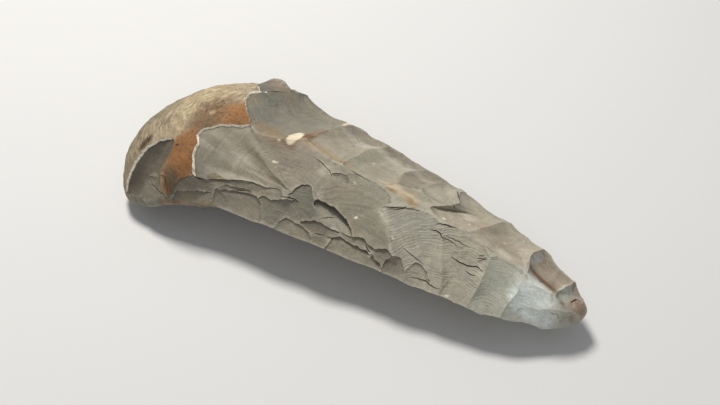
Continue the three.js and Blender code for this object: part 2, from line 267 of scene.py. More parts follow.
def scar(name, places, blow, depth=1.0, ripple=0.05, wave=2.6, lip=STEP_LIP, bite=0.3, soft=False, upper=True,
         ragged=0.22, flow=0.0):
    """Makes the cutter of one scar. A place is x, y and how far the scar's rim lies under the old surface."""
    seed = len(blows)
    cell = UPPER_CELL if upper else LOWER_CELL
    outline = closed_curve([(p[0], p[1], p[2] if len(p) > 2 else 0.0) for p in places], cell)
    flat = np.column_stack([outline[:, :2], np.zeros(len(outline))])
    outline[:, 0] += ragged * (grain(flat, 3.5, seed + 300) + 0.5 * grain(flat, 1.3, seed + 400))
    outline[:, 1] += ragged * (grain(flat, 3.5, seed + 500) + 0.5 * grain(flat, 1.3, seed + 600))
    rim = np.array([on_stone(x, y, upper, bite) for x, y, _ in outline])
    middle = rim.mean(0)
    out = unit(np.cross(rim - middle, np.roll(rim, -1, 0) - middle).sum(0))
    if (out[2] > 0) != upper:
        out, rim, outline = -out, rim[::-1], outline[::-1]
    start = on_stone(blow[0], blow[1], upper, 0)
    ahead = middle - start
    ahead = unit(ahead - out * (ahead @ out))
    across = np.cross(out, ahead)
    s, t = (rim - middle) @ ahead, (rim - middle) @ across
    after_s, after_t = np.roll(s, -1), np.roll(t, -1)
    twice = s * after_t - after_s * t
    area = twice.sum() / 2
    centre_s = ((s + after_s) * twice).sum() / (6 * area)
    centre_t = ((t + after_t) * twice).sum() / (6 * area)
    middle = middle + ahead * centre_s + across * centre_t
    s, t, h = s - centre_s, t - centre_t, (rim - middle) @ out - outline[:, 2]
    rings = max(4, int(round(math.sqrt(area) / (2 * cell))))

    def round_the_rim(values, share):
        return np.interp(share % 1 * len(values), np.arange(len(values) + 1), np.append(values, values[0]))

    i, j = np.meshgrid(np.arange(-rings, rings + 1), np.arange(-rings, rings + 1), indexing="ij")
    ring = np.maximum(np.abs(i), np.abs(j))
    a, b = i / np.maximum(ring, 1), j / np.maximum(ring, 1)
    side = np.abs(i) >= np.abs(j)
    share = np.where(side & (i > 0), b, np.where(side, 4 - b, np.where(j > 0, 2 - a, 6 + a))) / 8
    rho = ring / rings
    grid_s, grid_t = round_the_rim(s, share) * rho, round_the_rim(t, share) * rho
    # the rim's height spreads inwards as a soap film would, so that only its broad shape reaches the middle
    tones = np.fft.rfft(round_the_rim(h, np.arange(8 * rings) / (8 * rings)))
    fade = (np.arange(rings + 1) / rings)[:, None] ** np.arange(len(tones))
    film = np.fft.irfft(tones * fade, 8 * rings)
    place = share % 1 * 8 * rings
    low, part = np.floor(place).astype(int), place % 1
    grid_h = film[ring, low % (8 * rings)] * (1 - part) + film[ring, (low + 1) % (8 * rings)] * part
    grid_h -= depth * ((1 - rho ** 2) ** 2 if soft else 1 - rho ** 1.8)
    where = middle + grid_s[..., None] * ahead + grid_t[..., None] * across
    away = np.linalg.norm(where - (start - out * ((start - middle) @ out)), axis=-1)
    away_end = np.max(away)
    warped = away + 0.9 * grain(where, 9, seed) + 0.3 * grain(where, 3, seed + 50)
    calm = 1 - rho ** 6
    patches = np.clip(0.45 + 0.8 * grain(where, 9, seed + 150), 0, 1.5)
    strength = ripple * (0.35 + 0.9 * (away / away_end) ** 2) * patches
    grid_h += calm * strength * np.sin(2 * np.pi * warped / wave + 1.6 * np.sin(warped / (1.7 * wave)))
    grid_h += calm * (0.10 * grain(where, 11, seed + 100) + 0.04 * grain(where, 3, seed + 200))
    if flow:               # long soft ridges that fan out from the blow
        bearing = np.arctan2((where - start) @ across, (where - start) @ ahead)
        fanned = np.stack([bearing * away_end * 0.5, 0.12 * away, 0 * away], -1)
        grid_h += calm * flow * (grain(fanned, 5, seed + 250) + 0.35 * grain(fanned, 2, seed + 350))

    # past the outline: the lip, then a wall, and a lid over it all, well clear of the stone
    count = 8 * rings
    n = np.arange(count)
    rim_i = np.select([n <= rings, n <= 3 * rings, n <= 5 * rings, n <= 7 * rings],
                      [rings, 2 * rings - n, -rings, n - 6 * rings], rings) + rings
    rim_j = np.select([n <= rings, n <= 3 * rings, n <= 5 * rings, n <= 7 * rings],
                      [n, rings, 4 * rings - n, -rings], n - 8 * rings) + rings
    rim_s, rim_t, rim_h = (g[rim_i, rim_j] for g in (grid_s, grid_t, grid_h))
    run_s, run_t = np.roll(rim_s, -1) - np.roll(rim_s, 1), np.roll(rim_t, -1) - np.roll(rim_t, 1)
    reach = np.hypot(rim_s, rim_t)
    facing = np.clip((rim_s * run_t - rim_t * run_s) / (reach * np.hypot(run_s, run_t)), 0.35, 1)
    shells = []
    for distance, climb in ((0.4, 0.4), (1.2, 1.2), (3.0, 3.0), (5.0, 5.0), (5.6, 60 / lip)):
        grow = 1 + distance / facing / reach
        height = rim_h + lip * climb if climb < 6 else rim_h * 0 + 60
        shells.append(middle + (rim_s * grow)[:, None] * ahead + (rim_t * grow)[:, None] * across
                      + height[:, None] * out)
    sheet = where + grid_h[..., None] * out
    points = np.vstack([sheet.reshape(-1, 3)] + shells + [(middle + 60 * out)[None]])
    index = np.arange((2 * rings + 1) ** 2).reshape(2 * rings + 1, -1)
    cells = np.stack([index[:-1, :-1], index[:-1, 1:], index[1:, 1:], index[1:, :-1]], -1)
    faces = cells.reshape(-1, 4).tolist()
    below = index[rim_i, rim_j]
    for k in range(len(shells)):
        above = index.size + k * count + n
        faces += np.stack([below, np.roll(below, -1), np.roll(above, -1), above], -1).tolist()
        below = above
    faces += np.stack([below, np.roll(below, -1), np.full(count, len(points) - 1)], -1).tolist()
    cutter = new_mesh(name, points, faces)
    number = cutter.data.attributes.new("scar", "INT", "FACE")
    marks = np.full(len(faces), seed, np.int32)
    drop = round_the_rim(outline[:, 2], n / count)
    through_rind = (drop > RIND_DROP) & (lip == RIND_LIP)
    first = 4 * rings * rings
    kinds = np.where(drop > STEPPED, np.where(through_rind, CHALK, RISER), 0)
    marks[first:first + 3 * count] += np.tile(kinds, 3)
    number.data.foreach_set("value", marks)
    waiting.objects.link(cutter)
    blows.append({"start": start, "name": name, "wave": wave, "ripple": ripple, "ahead": ahead,
                  "across": across})


def cleft(places, width, depth):
    """Makes the cutter of a thin open crack along the places: a V that thins out at both ends."""
    places = np.array(places, float)
    run = np.concatenate([[0], np.cumsum(np.linalg.norm(np.diff(places, axis=0), axis=1))])
    steps = np.linspace(0, run[-1], max(6, int(run[-1] / 0.5)))
    path = np.stack([np.interp(steps, run, places[:, k]) for k in (0, 1)], -1)
    for _ in range(2):
        path[1:-1] = (path[:-2] + 2 * path[1:-1] + path[2:]) / 4
    flat = np.column_stack([path, 0 * steps])
    path += 0.12 * np.stack([grain(flat, 2, 11), grain(flat, 2, 12)], -1)
    on_path = np.array([on_stone(x, y, True, 0) for x, y in path])
    facing = np.array([surface.find_nearest(tuple(p * MM))[1] for p in on_path])
    aside = unit(np.cross(facing, np.gradient(on_path, axis=0)))
    swell = np.sqrt(np.sin(np.pi * np.linspace(0.03, 0.97, len(path))))[:, None]
    up, out = facing * depth * swell, aside * width * swell
    rings = np.stack([on_path + up + out, on_path + up - out, on_path - up], 1).reshape(-1, 3)
    ends = np.array([on_path[0], on_path[-1]])
    cutter = new_mesh("cleft", np.vstack([rings, ends]), tube_faces(len(path), 3))
    number = cutter.data.attributes.new("scar", "INT", "FACE")
    number.data.foreach_set("value", np.full(len(cutter.data.polygons), CLEFT, np.int32))
    waiting.objects.link(cutter)


def knap():
    """Cuts all the waiting scars out of the stone at once."""
    global stone, surface
    cut = stone.modifiers.new("knap", "BOOLEAN")
    cut.operation, cut.solver = "DIFFERENCE", "MANIFOLD"
    cut.operand_type, cut.collection = "COLLECTION", waiting
    bpy.context.view_layer.update()
    mesh = bpy.data.meshes.new_from_object(stone.evaluated_get(bpy.context.evaluated_depsgraph_get()))
    for piece in list(waiting.objects) + [stone]:
        bpy.data.objects.remove(piece)
    stone = bpy.data.objects.new("hand_axe_stone", mesh)
    bpy.context.scene.collection.objects.link(stone)
    surface = survey()


surface = survey()
R = 0.9                    # the rind's thickness, left as a chalky rim round a scar
# the facets from the far edge
scar("butt_far", [(-64.5, 20, R), (-60.5, 18, R), (-55.6, 14.8, R), (-50.5, 11, R), (-48.5, 14),
     (-46.5, 20), (-45.5, 27), (-52, 28.5), (-60, 28.5), (-66, 26, R)], (-54, 30), depth=0.4, lip=RIND_LIP,
     wave=2.2, flow=0.1)
scar("butt_far_2", [(-66.5, 27, R), (-60, 27.5), (-52, 28), (-45.5, 27), (-45, 35), (-47, 43), (-57, 47),
     (-66, 44, R)], (-54, 42), depth=0.7, bite=0, lip=RIND_LIP, flow=0.1)
scar("far_1", [(-50.5, 10, R), (-53, 6, R), (-51, 1, R), (-47, -3.5, R), (-42.5, -7.5, R), (-39.5, -9.5, R),
     (-38, -12), (-30, -12), (-22, -9), (-17, -6), (-14, 0), (-13, 10), (-12, 22), (-14, 32), (-20, 39),
     (-33, 41), (-41, 41), (-45, 36), (-46, 28, 0.2), (-46.5, 20, 0.4), (-48.5, 13.5, 0.5)], (-31, 38),
     depth=1.4, lip=RIND_LIP, ripple=0.02, wave=4, soft=True, flow=0.10)
scar("far_2", [(-16, 4), (-15, -3), (-5, -6), (5, -6), (8, 1), (7, 12), (9, 22), (6, 34), (0, 40),
     (-12, 40), (-17, 30), (-16, 16)], (-4, 38), depth=1.1, ripple=0.03, wave=4, soft=True, flow=0.12)
scar("far_3", [(6, -6), (16, -6.5), (27, -5), (30, 0), (28, 8), (30, 20), (28, 36), (14, 38), (6, 36),
     (6, 20), (5, 5)], (12, 36), depth=1.1, ripple=0.04, wave=4, soft=True, flow=0.14)
scar("far_4", [(27, 1), (31, -1), (36, 1), (39, 6), (40, 14), (41, 34), (30, 36), (26, 30), (25, 14)],
     (34, 34), depth=0.9, soft=True, flow=0.1)
scar("far_5", [(37.5, 4.6), (40.3, 2.6, 0.2), (43.6, 1.2, 0.3), (46, 1.3, 0.2), (51, 2), (52, 6.5),
     (50, 12), (46, 20), (44, 32), (38, 33), (37, 20), (37, 10)], (42, 32), depth=0.5, ripple=0.02)
scar("far_6", [(48, -4), (54, -6), (61, -5), (66, -4), (70, 2), (72, 12), (70, 29), (60, 32), (50, 32),
     (48, 26), (48.5, 19, 0.3), (51, 14.5, 0.5), (53.5, 11, 0.2), (53, 5), (50, 0)], (62, 30), depth=0.9,
     ripple=0.05, wave=3.2, flow=0.12)
scar("far_7", [(66, -3), (75, -5.5), (84, -5), (91, -3), (90, 6), (90.5, 14), (89, 24), (76, 28), (68, 28),
     (69, 14)], (79, 26), depth=0.8, ripple=0.04, wave=3.2, soft=True, flow=0.14)
scar("far_8", [(90.6, 2.6, 0.2), (92.2, -1, 0.2), (93.2, -4), (96.4, -5.6), (100.2, -5.2), (103.2, -4.2),
     (105.6, -2.4), (107, 1), (108, 8), (106.5, 14), (102, 20), (95, 23), (90, 23), (90, 14), (90, 7, 0.2)],
     (99, 20), depth=0.8, wave=3.5, flow=0.12)
# the facets from the near edge
scar("near_1", [(-34, -13), (-27, -8), (-17, -4), (-6, -5.5), (2, -7.5), (7, -12), (7, -18), (5, -24),
     (0, -29), (-8, -33), (-20, -34), (-30, -29)], (-8, -38), depth=0.7, ripple=0.015, wave=4, soft=True,
     flow=0.06)
scar("near_2", [(1, -9), (8, -6.5), (18, -6.5), (28, -7), (33, -10), (34, -15), (39, -20), (45, -26),
     (40, -34), (20, -38), (6, -38), (0, -30), (-1, -18)], (26, -38), depth=1.0, ripple=0.03, wave=4,
     soft=True, flow=0.05)
scar("near_4", [(54, -9), (60, -5.5), (68, -4), (75, -6), (80, -10), (81, -17), (80, -24), (76, -31),
     (68, -33), (65.5, -25), (60, -18.7), (55.5, -15)], (74, -29), depth=0.9, ripple=0.13, wave=2.2)
scar("near_5", [(77, -10), (80, -6), (86, -4), (91, -4), (94, -9), (94, -15), (92, -20), (88, -27),
     (78, -29), (78, -20), (78, -14)], (86, -25), depth=0.7, ripple=0.09, wave=2.2, soft=True)
scar("near_6", [(92, -5), (96, -5.5), (101, -4.5), (105, -4), (107, -9), (105, -13), (106, -17), (98, -22),
     (92, -24), (91, -18), (92, -12)], (100, -20), depth=0.35, ripple=0.02, soft=True)
knap()

# the scars that border the rind on the near side, and the rippled one beyond the middle
scar("near_0", [(-56, -26, R), (-55.5, -23, R), (-52, -19.5, R), (-47, -16, R), (-42, -13.3, R),
     (-39.3, -11.3, 0.6), (-36, -12.5), (-28, -15), (-19, -19), (-11, -22.5), (-5.5, -24.5), (-9, -27.5),
     (-20, -31), (-32, -34.5), (-42, -38), (-48, -38.3, R), (-51.5, -34.5, R), (-53, -31, R),
     (-53.5, -29, R)], (-4, -26), depth=1.5, lip=RIND_LIP, ripple=0.0, ragged=0.3, soft=True, flow=0.3)
scar("butt_near", [(-67, -30.5, 0.2), (-65.2, -33), (-65, -38), (-65.5, -42), (-64, -46), (-64, -52),
     (-70, -57), (-80, -58), (-87, -52), (-83.5, -47.8, R), (-82, -45.2, R), (-80.5, -42.5, R),
     (-79, -39, R), (-77, -36, R), (-73.5, -33, R), (-70, -31, R)], (-72, -56), depth=1.3, lip=RIND_LIP,
     ripple=0.02, wave=3, flow=0.15)
scar("near_3", [(31, -14.6), (34, -12.6), (38, -9.8), (43, -7.6), (48, -6.6), (53, -7), (58, -10),
     (60, -14), (64, -20), (67, -26), (65, -32), (53, -33), (46, -30), (42.5, -25.5), (39.6, -21.3),
     (36.6, -18.9), (33.3, -17)], (63, -29), depth=1.0, ripple=0.13, wave=2.4)
scar("near_7", [(97, -13), (101, -11.5), (106, -8.5), (110, -5.8), (114.5, -2.2), (118, -3), (116, -11),
     (108, -19), (98, -22), (95.5, -17)], (108, -16), depth=0.3, ripple=0.03)
scar("far_9", [(105.6, -2.4, 0.2), (107.5, -3.8, 0.1), (110, -4), (113, -1), (114.5, 4), (112, 10),
     (107.5, 13), (107.5, 6)], (113, 6), depth=0.35, ripple=0.10, wave=1.6)
knap()

# the stepped flakes along the near edge, the first ones deep under the broad scars
scar("butt_fold", [(-73, -42, 0.1), (-74.2, -44.8), (-73.5, -49), (-72, -55), (-62, -54), (-62, -47),
     (-66, -43)], (-66, -54), depth=0.5, flow=0.1)
scar("step_1", [(-43.6, -36.3, 0.3), (-41.9, -35.4, 0.5), (-39.7, -34.2, 0.6), (-37, -33.2, 0.7),
     (-33, -31.7, 0.7), (-29, -30.2, 0.7), (-25.5, -29, 0.7), (-22, -28.6, 0.6), (-19, -27.9, 0.4),
     (-16, -27.2, 0.35), (-13, -26.4, 0.3), (-11, -26.8, 0.3), (-9, -29), (-8, -38), (-18, -44), (-34, -46),
     (-44, -48), (-57, -51), (-60, -47), (-57.2, -45, R), (-54.5, -42.2, R), (-50.6, -40, R),
     (-46.8, -37.6, R)], (-34, -46), depth=0.7, flow=0.15)
scar("step_7", [(-6.3, -26, 0.3), (-6, -24, 0.45), (-5.2, -22.3, 0.5), (-3.8, -20.6, 0.5),
     (-1.3, -19.8, 0.4), (0.8, -20.6, 0.2), (2.5, -22.6, 0.1), (4, -23.6), (6, -25), (10, -28), (8, -36),
     (0, -40), (-8, -38), (-7.5, -30)], (0, -38), depth=0.7)
scar("step_8", [(4.6, -23.2, 1.3), (7, -22.4, 1.9), (10, -22, 2.2), (13, -21.9, 2.4), (16, -22.2, 2.5),
     (19, -23, 2.4), (22, -24.4, 1.8), (24.6, -26, 1.1), (23.5, -28.5, 0.3), (19, -27.6), (14, -28.4),
     (9.5, -27.2), (7, -25.6, 0.3), (5, -24.5, 0.8)], (12, -30), depth=0.5, ripple=0.10, wave=1.8, flow=0.2)
knap()
scar("step_2", [(-18.5, -32, 0.25), (-14, -30.8, 0.4), (-9, -29.6, 0.4), (-5.8, -27.8, 0.4),
     (-4, -26.4, 0.3), (-1.5, -27), (2, -30), (4, -36), (-4, -42), (-16, -43)], (-8, -41), depth=0.5)
scar("step_3", [(-56, -44.2, 0.3), (-53, -43, 0.4), (-49.5, -41.6, 0.45), (-45, -39.9, 0.45),
     (-42, -38.7, 0.35), (-40, -38), (-38, -42), (-44, -47), (-56, -51)], (-48, -49), depth=0.4, flow=0.1)
scar("step_4", [(-36.5, -34.2, 0.15), (-33.4, -33.2, 0.3), (-30, -32.4, 0.35), (-27, -31.6, 0.3),
     (-24, -31, 0.2), (-22, -33), (-30, -38), (-38, -38)], (-30, -44), depth=0.35)
scar("step_5", [(7.5, -33), (2.5, -31.5, 0.35), (5.4, -30, 0.45), (9, -28.6, 0.5), (13, -28, 0.55),
     (17.5, -27.3, 0.5), (20.5, -27.6, 0.2), (20, -31), (18, -36), (10, -38)], (14, -37), depth=0.5)
scar("step_6", [(20.4, -26, 0.3), (24.3, -26.2, 0.6), (27.4, -25.6, 0.8), (29.8, -25.2, 0.8),
     (32.4, -26, 0.8), (35.7, -26.6, 0.7), (37, -29), (36, -34), (26, -38), (18, -34), (18, -29)],
     (28, -37), depth=0.7, flow=0.15)
scar("step_9", [(35.8, -26.8, 0.4), (38.6, -25.6, 0.7), (41, -25.2, 0.7), (43.2, -25.6, 0.5),
     (45, -27.5, 0.2), (44, -32), (38, -33), (36, -30)], (40, -33), depth=0.6)
knap()
scar("arch", [(-39, -37, 0.2), (-36.4, -35.7, 0.35), (-33.5, -34.5, 0.4), (-30.5, -33.5, 0.4),
     (-27, -32.6, 0.45), (-23.8, -32, 0.5), (-21, -31.9, 0.5), (-18.8, -32.4, 0.5), (-17, -33.2, 0.45),
     (-15.6, -34.6, 0.3), (-14, -38), (-18, -46), (-30, -47), (-37, -44)], (-26, -45), depth=1.1,
     ripple=0.04)
scar("step_10", [(-4.7, -32.9, 0.3), (-2, -32.6, 0.4), (1, -32.4, 0.45), (4, -32.4, 0.5), (6.6, -32.8, 0.5),
     (8.8, -33.6, 0.4), (10, -35), (6, -41), (-4, -42), (-7, -38)], (2, -40), depth=0.7)
scar("step_11", [(17.8, -30.4, 0.4), (19, -29, 0.7), (21, -28.2, 0.8), (24, -28, 0.8), (27.7, -27.8, 0.8),
     (31, -27.8, 0.9), (34, -28, 1.0), (37, -28.8, 1.1), (40.5, -29.4, 0.9), (42.6, -31, 0.5), (40, -36),
     (28, -39), (18, -38)], (30, -37), depth=0.6)
scar("step_12", [(42, -27.6, 0.4), (43.6, -26.2, 0.5), (45.6, -24.8, 0.4), (47.3, -24.2, 0.2),
     (49.2, -25, 0.1), (51, -27), (48, -31), (43, -31)], (47, -31), depth=0.4)
scar("step_13", [(53, -22, 0.3), (55.4, -21.8, 0.4), (57.6, -22.3, 0.4), (60, -23.9, 0.4), (61.5, -25, 0.3),
     (62, -30), (54, -31), (51, -27)], (57, -31), depth=0.4, ripple=0.1, wave=1.6)
scar("chip_1", [(75.4, -9.6, 0.2), (77.5, -8.7, 0.3), (78.8, -11, 0.3), (78.4, -12.8, 0.1), (76.4, -12.2),
     (74.6, -11)], (77, -16), depth=0.4)
scar("chip_2", [(4.6, -12.6), (5, -11.2, 0.2), (8, -9.6, 0.2), (11.5, -9.6, 0.1), (13, -11.5), (9, -13.4)],
     (12, -20), depth=0.3)
knap()
# thin cracks, where a flake began to part but held: how wide and deep, and the places along each
CLEFTS = [
    (0.35, 0.4, [(46, -20.7), (51, -20.7), (56.2, -20.9)]),
    (0.6, 0.6, [(53.5, -8.3), (57.1, -6.8), (60.8, -5.6)]),
    (0.55, 0.5, [(52.3, -10.8), (54, -9.9), (56.5, -10.2), (58.8, -11.3)]),
    (0.6, 0.5, [(64.8, -14.2), (67.6, -14.2), (72.7, -13.3), (75.5, -12.2), (78.2, -12.9)]),
    (0.45, 0.4, [(72.1, -15.2), (74.1, -15.4), (76.3, -15.2)]),
    (0.4, 0.4, [(73.9, -9), (75.9, -8)]),
    (0.4, 0.4, [(73.8, -10.1), (77, -8.6)]),
    (0.35, 0.25, [(57.3, -11.4), (60.3, -10.3), (62.5, -10), (64.6, -10.2)]),
    (0.35, 0.25, [(59.1, -9.7), (62.8, -8.9), (65.8, -8.5), (69.5, -8.3)]),
    (0.55, 0.5, [(31, -13.6), (33.3, -12.8), (36.1, -11.6), (38.2, -10.1), (39.9, -8.9)]),
    (0.4, 0.4, [(34.1, -13.2), (37, -11.6), (38.8, -10), (41.5, -8.6), (45, -7.4)]),
    (0.5, 0.4, [(53.8, -26.4), (57.3, -25.2), (60, -24.8), (63, -25.6), (66.5, -25.2)]),
    (0.3, 0.25, [(7.1, -6.2), (12.8, -6.8), (19.5, -7.1)]),
    (0.35, 0.2, [(-7.3, -9), (-3.5, -9.3), (0.5, -10.4), (3.7, -11.4), (5.3, -12.8)]),
    (0.35, 0.4, [(51.9, 5), (53.8, 5.6), (55.4, 5.2)]),
    (0.8, 0.6, [(47.6, 19.2), (50.6, 14.3), (52.8, 11.8), (54, 10.6)]),
    (0.35, 0.4, [(-9.7, 25), (-6.5, 22.5), (-3.6, 20.2)]),
    (0.5, 0.4, [(-9.7, -28.4), (-7.5, -27.8), (-5.2, -26.6), (-3.4, -25.9), (-1.8, -26.4)]),
    (0.4, 0.4, [(-7.6, -26.9), (-6.1, -25)]),
    (0.5, 0.4, [(-71.8, -43), (-69.2, -44.3), (-66.2, -45.4), (-63.4, -46.1), (-60.7, -46.5), (-59.2, -46.5)]),
    (0.5, 0.5, [(-66, -42.4), (-64.2, -42.7), (-61.9, -43.3), (-60.4, -44.5), (-58.6, -45.8)]),
    (0.4, 0.4, [(-31.6, -33.2), (-28.6, -32.4), (-26.2, -31.6)]),
    (0.45, 0.4, [(10.2, -31.7), (12.2, -31), (14, -30.3)]),
    (0.45, 0.4, [(15.6, -30.2), (18.1, -30.1)]),
    (0.4, 0.4, [(10, -26.8), (11.2, -25.3), (12.4, -23.6), (13.9, -22.9)]),
    (0.5, 0.4, [(31.5, -26), (33.4, -27), (35.7, -28)]),
    (0.7, 0.6, [(111, 0.6), (111.3, 2.6), (111.9, 4), (113.1, 4.1), (113.9, 3.4)]),
    (0.25, 0.15, [(106.1, -8.9), (107.8, -7.8), (109.2, -6.8), (110.6, -6)]),
]
for width, depth, places in CLEFTS:
    cleft(places, width, depth)
knap()


def uneven(i, salt):
    """A fixed, uneven share between 0 and 1 for each flake of a row, so that no two are alike."""
    value = math.sin(i * 12.9898 + salt * 78.233) * 43758.5453
    return value - math.floor(value)


def edge_at(x, side, beyond):
    """The plan place on the nodule's edge at x, moved outwards."""
    middle = float(along(x, "crest_y"))
    edge = float(along(x, side + "_y"))
    return np.array([x, middle + (edge - middle) * float(taper(x)) + math.copysign(beyond, edge)])


def oval(start, end, width, square=2.6):
    """The outline of a scar that runs from a blow to its end, as places round a squarish oval."""
    ahead = end - start
    across = np.array([-ahead[1], ahead[0]]) / np.linalg.norm(ahead) * width / 2
    turns = np.arange(12) * math.pi / 6
    return [tuple((start + end) / 2 + ahead / 2 * math.copysign(abs(math.cos(a)) ** (2 / square), math.cos(a))
                  + across * math.copysign(abs(math.sin(a)) ** (2 / square), math.sin(a))) for a in turns]


# the plainer lower face: a row of broad flakes from either edge
BELOW_FIRST, BELOW_LAST, BELOW_COUNT = -62.0, 90.0, 7
below_gap = (BELOW_LAST - BELOW_FIRST) / (BELOW_COUNT - 1)
for salt, side, shift in ((1, "near", 0), (2, "far", 0.35)):
    for i in range(BELOW_COUNT):
        x = BELOW_FIRST + below_gap * (i + shift + 0.3 * (uneven(i, salt) - 0.5))
        x = min(x, TIP - 8)
        blow = edge_at(x, side, 2)
        end = np.array([x - 5 * (uneven(i, salt + 3) - 0.5),
                        blow[1] + (float(along(x, "keel_y")) - blow[1]) * 0.98])
        scar(f"below_{side}_{i}", oval(blow, end, below_gap * (1.1 + 0.3 * uneven(i, salt + 5))), blow,
             depth=1.0, ripple=0.08, upper=False, bite=0.3)
knap()

# small flakes that trim the edges
TRIM_FIRST, TRIM_LAST, TRIM_SPACING = -50.0, 100.0, 11.0
TRIM_REACH, TRIM_WIDTH = 6.0, 10.0
for side, upper, salt in (("far", True, 11), ("near", False, 31)):
    x = TRIM_FIRST
    while x < TRIM_LAST:
        blow = edge_at(x, side, 1.5)
        reach = TRIM_REACH * (0.7 + 0.6 * uneven(x, salt + 1))
        end = np.array([x - 2, blow[1] - math.copysign(reach, blow[1])])
        scar(f"trim_{side}", oval(blow, end, TRIM_WIDTH * (0.7 + 0.6 * uneven(x, salt + 2))), blow, depth=0.2,
             ripple=0.02, upper=upper, bite=0.1)
        x += TRIM_SPACING * (0.75 + 0.5 * uneven(x, salt))

# the small flat that the axe lies on
ground = new_mesh("ground", np.array([[x, y, z] for z in (-20.0, 0.0) for x, y in
                                      ((-200, -200), (200, -200), (200, 200), (-200, 200))]),
                  [(3, 2, 1, 0), (4, 5, 6, 7), (0, 1, 5, 4), (1, 2, 6, 5), (2, 3, 7, 6), (3, 0, 4, 7)])
number = ground.data.attributes.new("scar", "INT", "FACE")
number.data.foreach_set("value", np.full(6, len(blows), np.int32))
blows.append({**blows[0], "name": "ground"})
waiting.objects.link(ground)
knap()
bpy.data.collections.remove(waiting)
axe, knapped = stone, stone.data

# ------------------------------------------------------------------ colours of the stone
# Flint is dark and glassy inside. Long weathering has dulled the scars to an olive grey at the butt and a
# pale, bluish bloom at the tip, with ochre stains. The rind is cream, brown and orange.


def colour(red, green, blue):
    """A colour given in everyday 0 to 255 steps, as light."""
    value = np.array([red, green, blue]) / 255
    return np.where(value <= 0.04045, value / 12.92, ((value + 0.055) / 1.055) ** 2.4)


loops = read(knapped.loops, "vertex_index", 1, np.int32)
sizes = read(knapped.polygons, "loop_total", 1, np.int32)
scars = read(knapped.attributes["scar"].data, "value", 1, np.int32)
points = read(knapped.vertices, "co", 3).astype(float) / MM
centres = read(knapped.polygons, "center", 3).astype(float) / MM
chalky, risers = (scars >= CHALK) & (scars < RISER), (scars >= RISER) & (scars < CLEFT)
clefts = scars >= CLEFT
scars = scars % CHALK
bare_foot = (centres[:, 1] <= -37) & (centres[:, 0] >= -80) & (centres[:, 2] <= 20)     # the butt's near side
rinded = (scars == 0) & ~clefts & (centres[:, 0] < RIND_END) & ~bare_foot
corner_scar = np.repeat(scars, sizes)
corner = points[loops]

ALONG = [-100, -50, 0, 40, 75, 100, 120]
FLINT = np.array([colour(122, 116, 100), colour(126, 119, 103), colour(135, 127, 109), colour(148, 143, 124),
                  colour(158, 152, 134), colour(170, 166, 150), colour(168, 163, 148)])
tint = np.stack([np.interp(corner[:, 0], ALONG, FLINT[:, k]) for k in range(3)], -1)
names = np.array([blow["name"] for blow in blows])[corner_scar]


def write(label, domain, values):
    """Gives the stone a named layer, for its materials to read."""
    layer = knapped.attributes.new(label, "FLOAT", domain)
    layer.data.foreach_set("value", values.astype(np.float32))


def stain(x, y, half_long, half_wide, turn, shade, strength=1.0, soft=0.5, only=None, ragged=1.0):
    """Tints an oval of the upper face, with a soft, ragged edge. Only keeps it to some of the scars."""
    turn = math.radians(turn)
    s = (corner[:, 0] - x) * math.cos(turn) + (corner[:, 1] - y) * math.sin(turn)
    t = -(corner[:, 0] - x) * math.sin(turn) + (corner[:, 1] - y) * math.cos(turn)
    near = (np.abs(s) < 2 * half_long) & (np.abs(t) < 2 * half_wide) & (corner[:, 2] > 8)
    if only:
        near &= np.isin(names, only)
    wander = 0.14 * grain(corner[near], 5, int(x * 7 + y * 3) % 997) + 0.07 * grain(corner[near], 1.6, 5)
    rho = np.hypot(s[near] / half_long, t[near] / half_wide) + ragged * wander
    share = strength * np.clip((1 + soft / 2 - rho) / soft, 0, 1)
    share = share * share * (3 - 2 * share)
    tint[near] += (colour(*shade) - tint[near]) * share[:, None]


# the scars weathered to different shades
SCAR_SHADES = {
    "butt_far": (100, 96, 83), "butt_far_2": (112, 106, 92), "far_1": (122, 117, 102), "far_2": (146, 137, 119),
    "far_3": (152, 145, 127), "far_4": (138, 129, 112), "far_5": (165, 157, 138), "far_6": (158, 149, 130),
    "far_7": (160, 150, 131), "far_8": (146, 132, 113), "far_9": (150, 135, 118),
    "near_0": (141, 132, 113), "near_1": (133, 123, 105), "near_2": (141, 135, 116), "near_3": (166, 160, 142),
    "near_4": (154, 147, 129), "near_5": (166, 165, 148), "near_6": (176, 178, 166), "near_7": (171, 169, 156),
    "butt_near": (104, 95, 80),
    "step_1": (122, 115, 98), "step_2": (118, 113, 97), "step_3": (122, 118, 102), "step_4": (126, 118, 100),
    "step_5": (117, 110, 93), "step_6": (130, 123, 106), "step_7": (112, 109, 94), "step_8": (140, 134, 117),
    "step_9": (132, 125, 108), "step_10": (136, 128, 111), "step_11": (134, 125, 107),
    "step_12": (122, 113, 99), "step_13": (158, 149, 131),
}
for name, shade in SCAR_SHADES.items():
    tint[names == name] = colour(*shade)
dice = np.random.default_rng(5)     # every scar is a little lighter or darker than its neighbour
tones = 1 + 0.05 * dice.normal(size=len(blows)).clip(-1.5, 1.5)
tint *= tones[corner_scar][:, None]

# weathering has blurred the colours across the scars' borders
BLUR_PASSES = 24
edges = read(knapped.edges, "vertices", 2, np.int32)
here, there = np.concatenate([edges, edges[:, ::-1]]).T
bare = np.repeat(~rinded, sizes)
held = np.bincount(loops, bare, len(points))
known = np.minimum(held, 1)
for k in range(3):
    even = np.bincount(loops, tint[:, k] * bare, len(points)) / np.maximum(held, 1)
    for _ in range(BLUR_PASSES):
        total = np.bincount(here, (even * known)[there], len(points))
        weight = np.bincount(here, known[there], len(points))
        even = np.where(known > 0, (even + total) / (1 + weight), even)
    tint[bare, k] = even[loops[bare]]

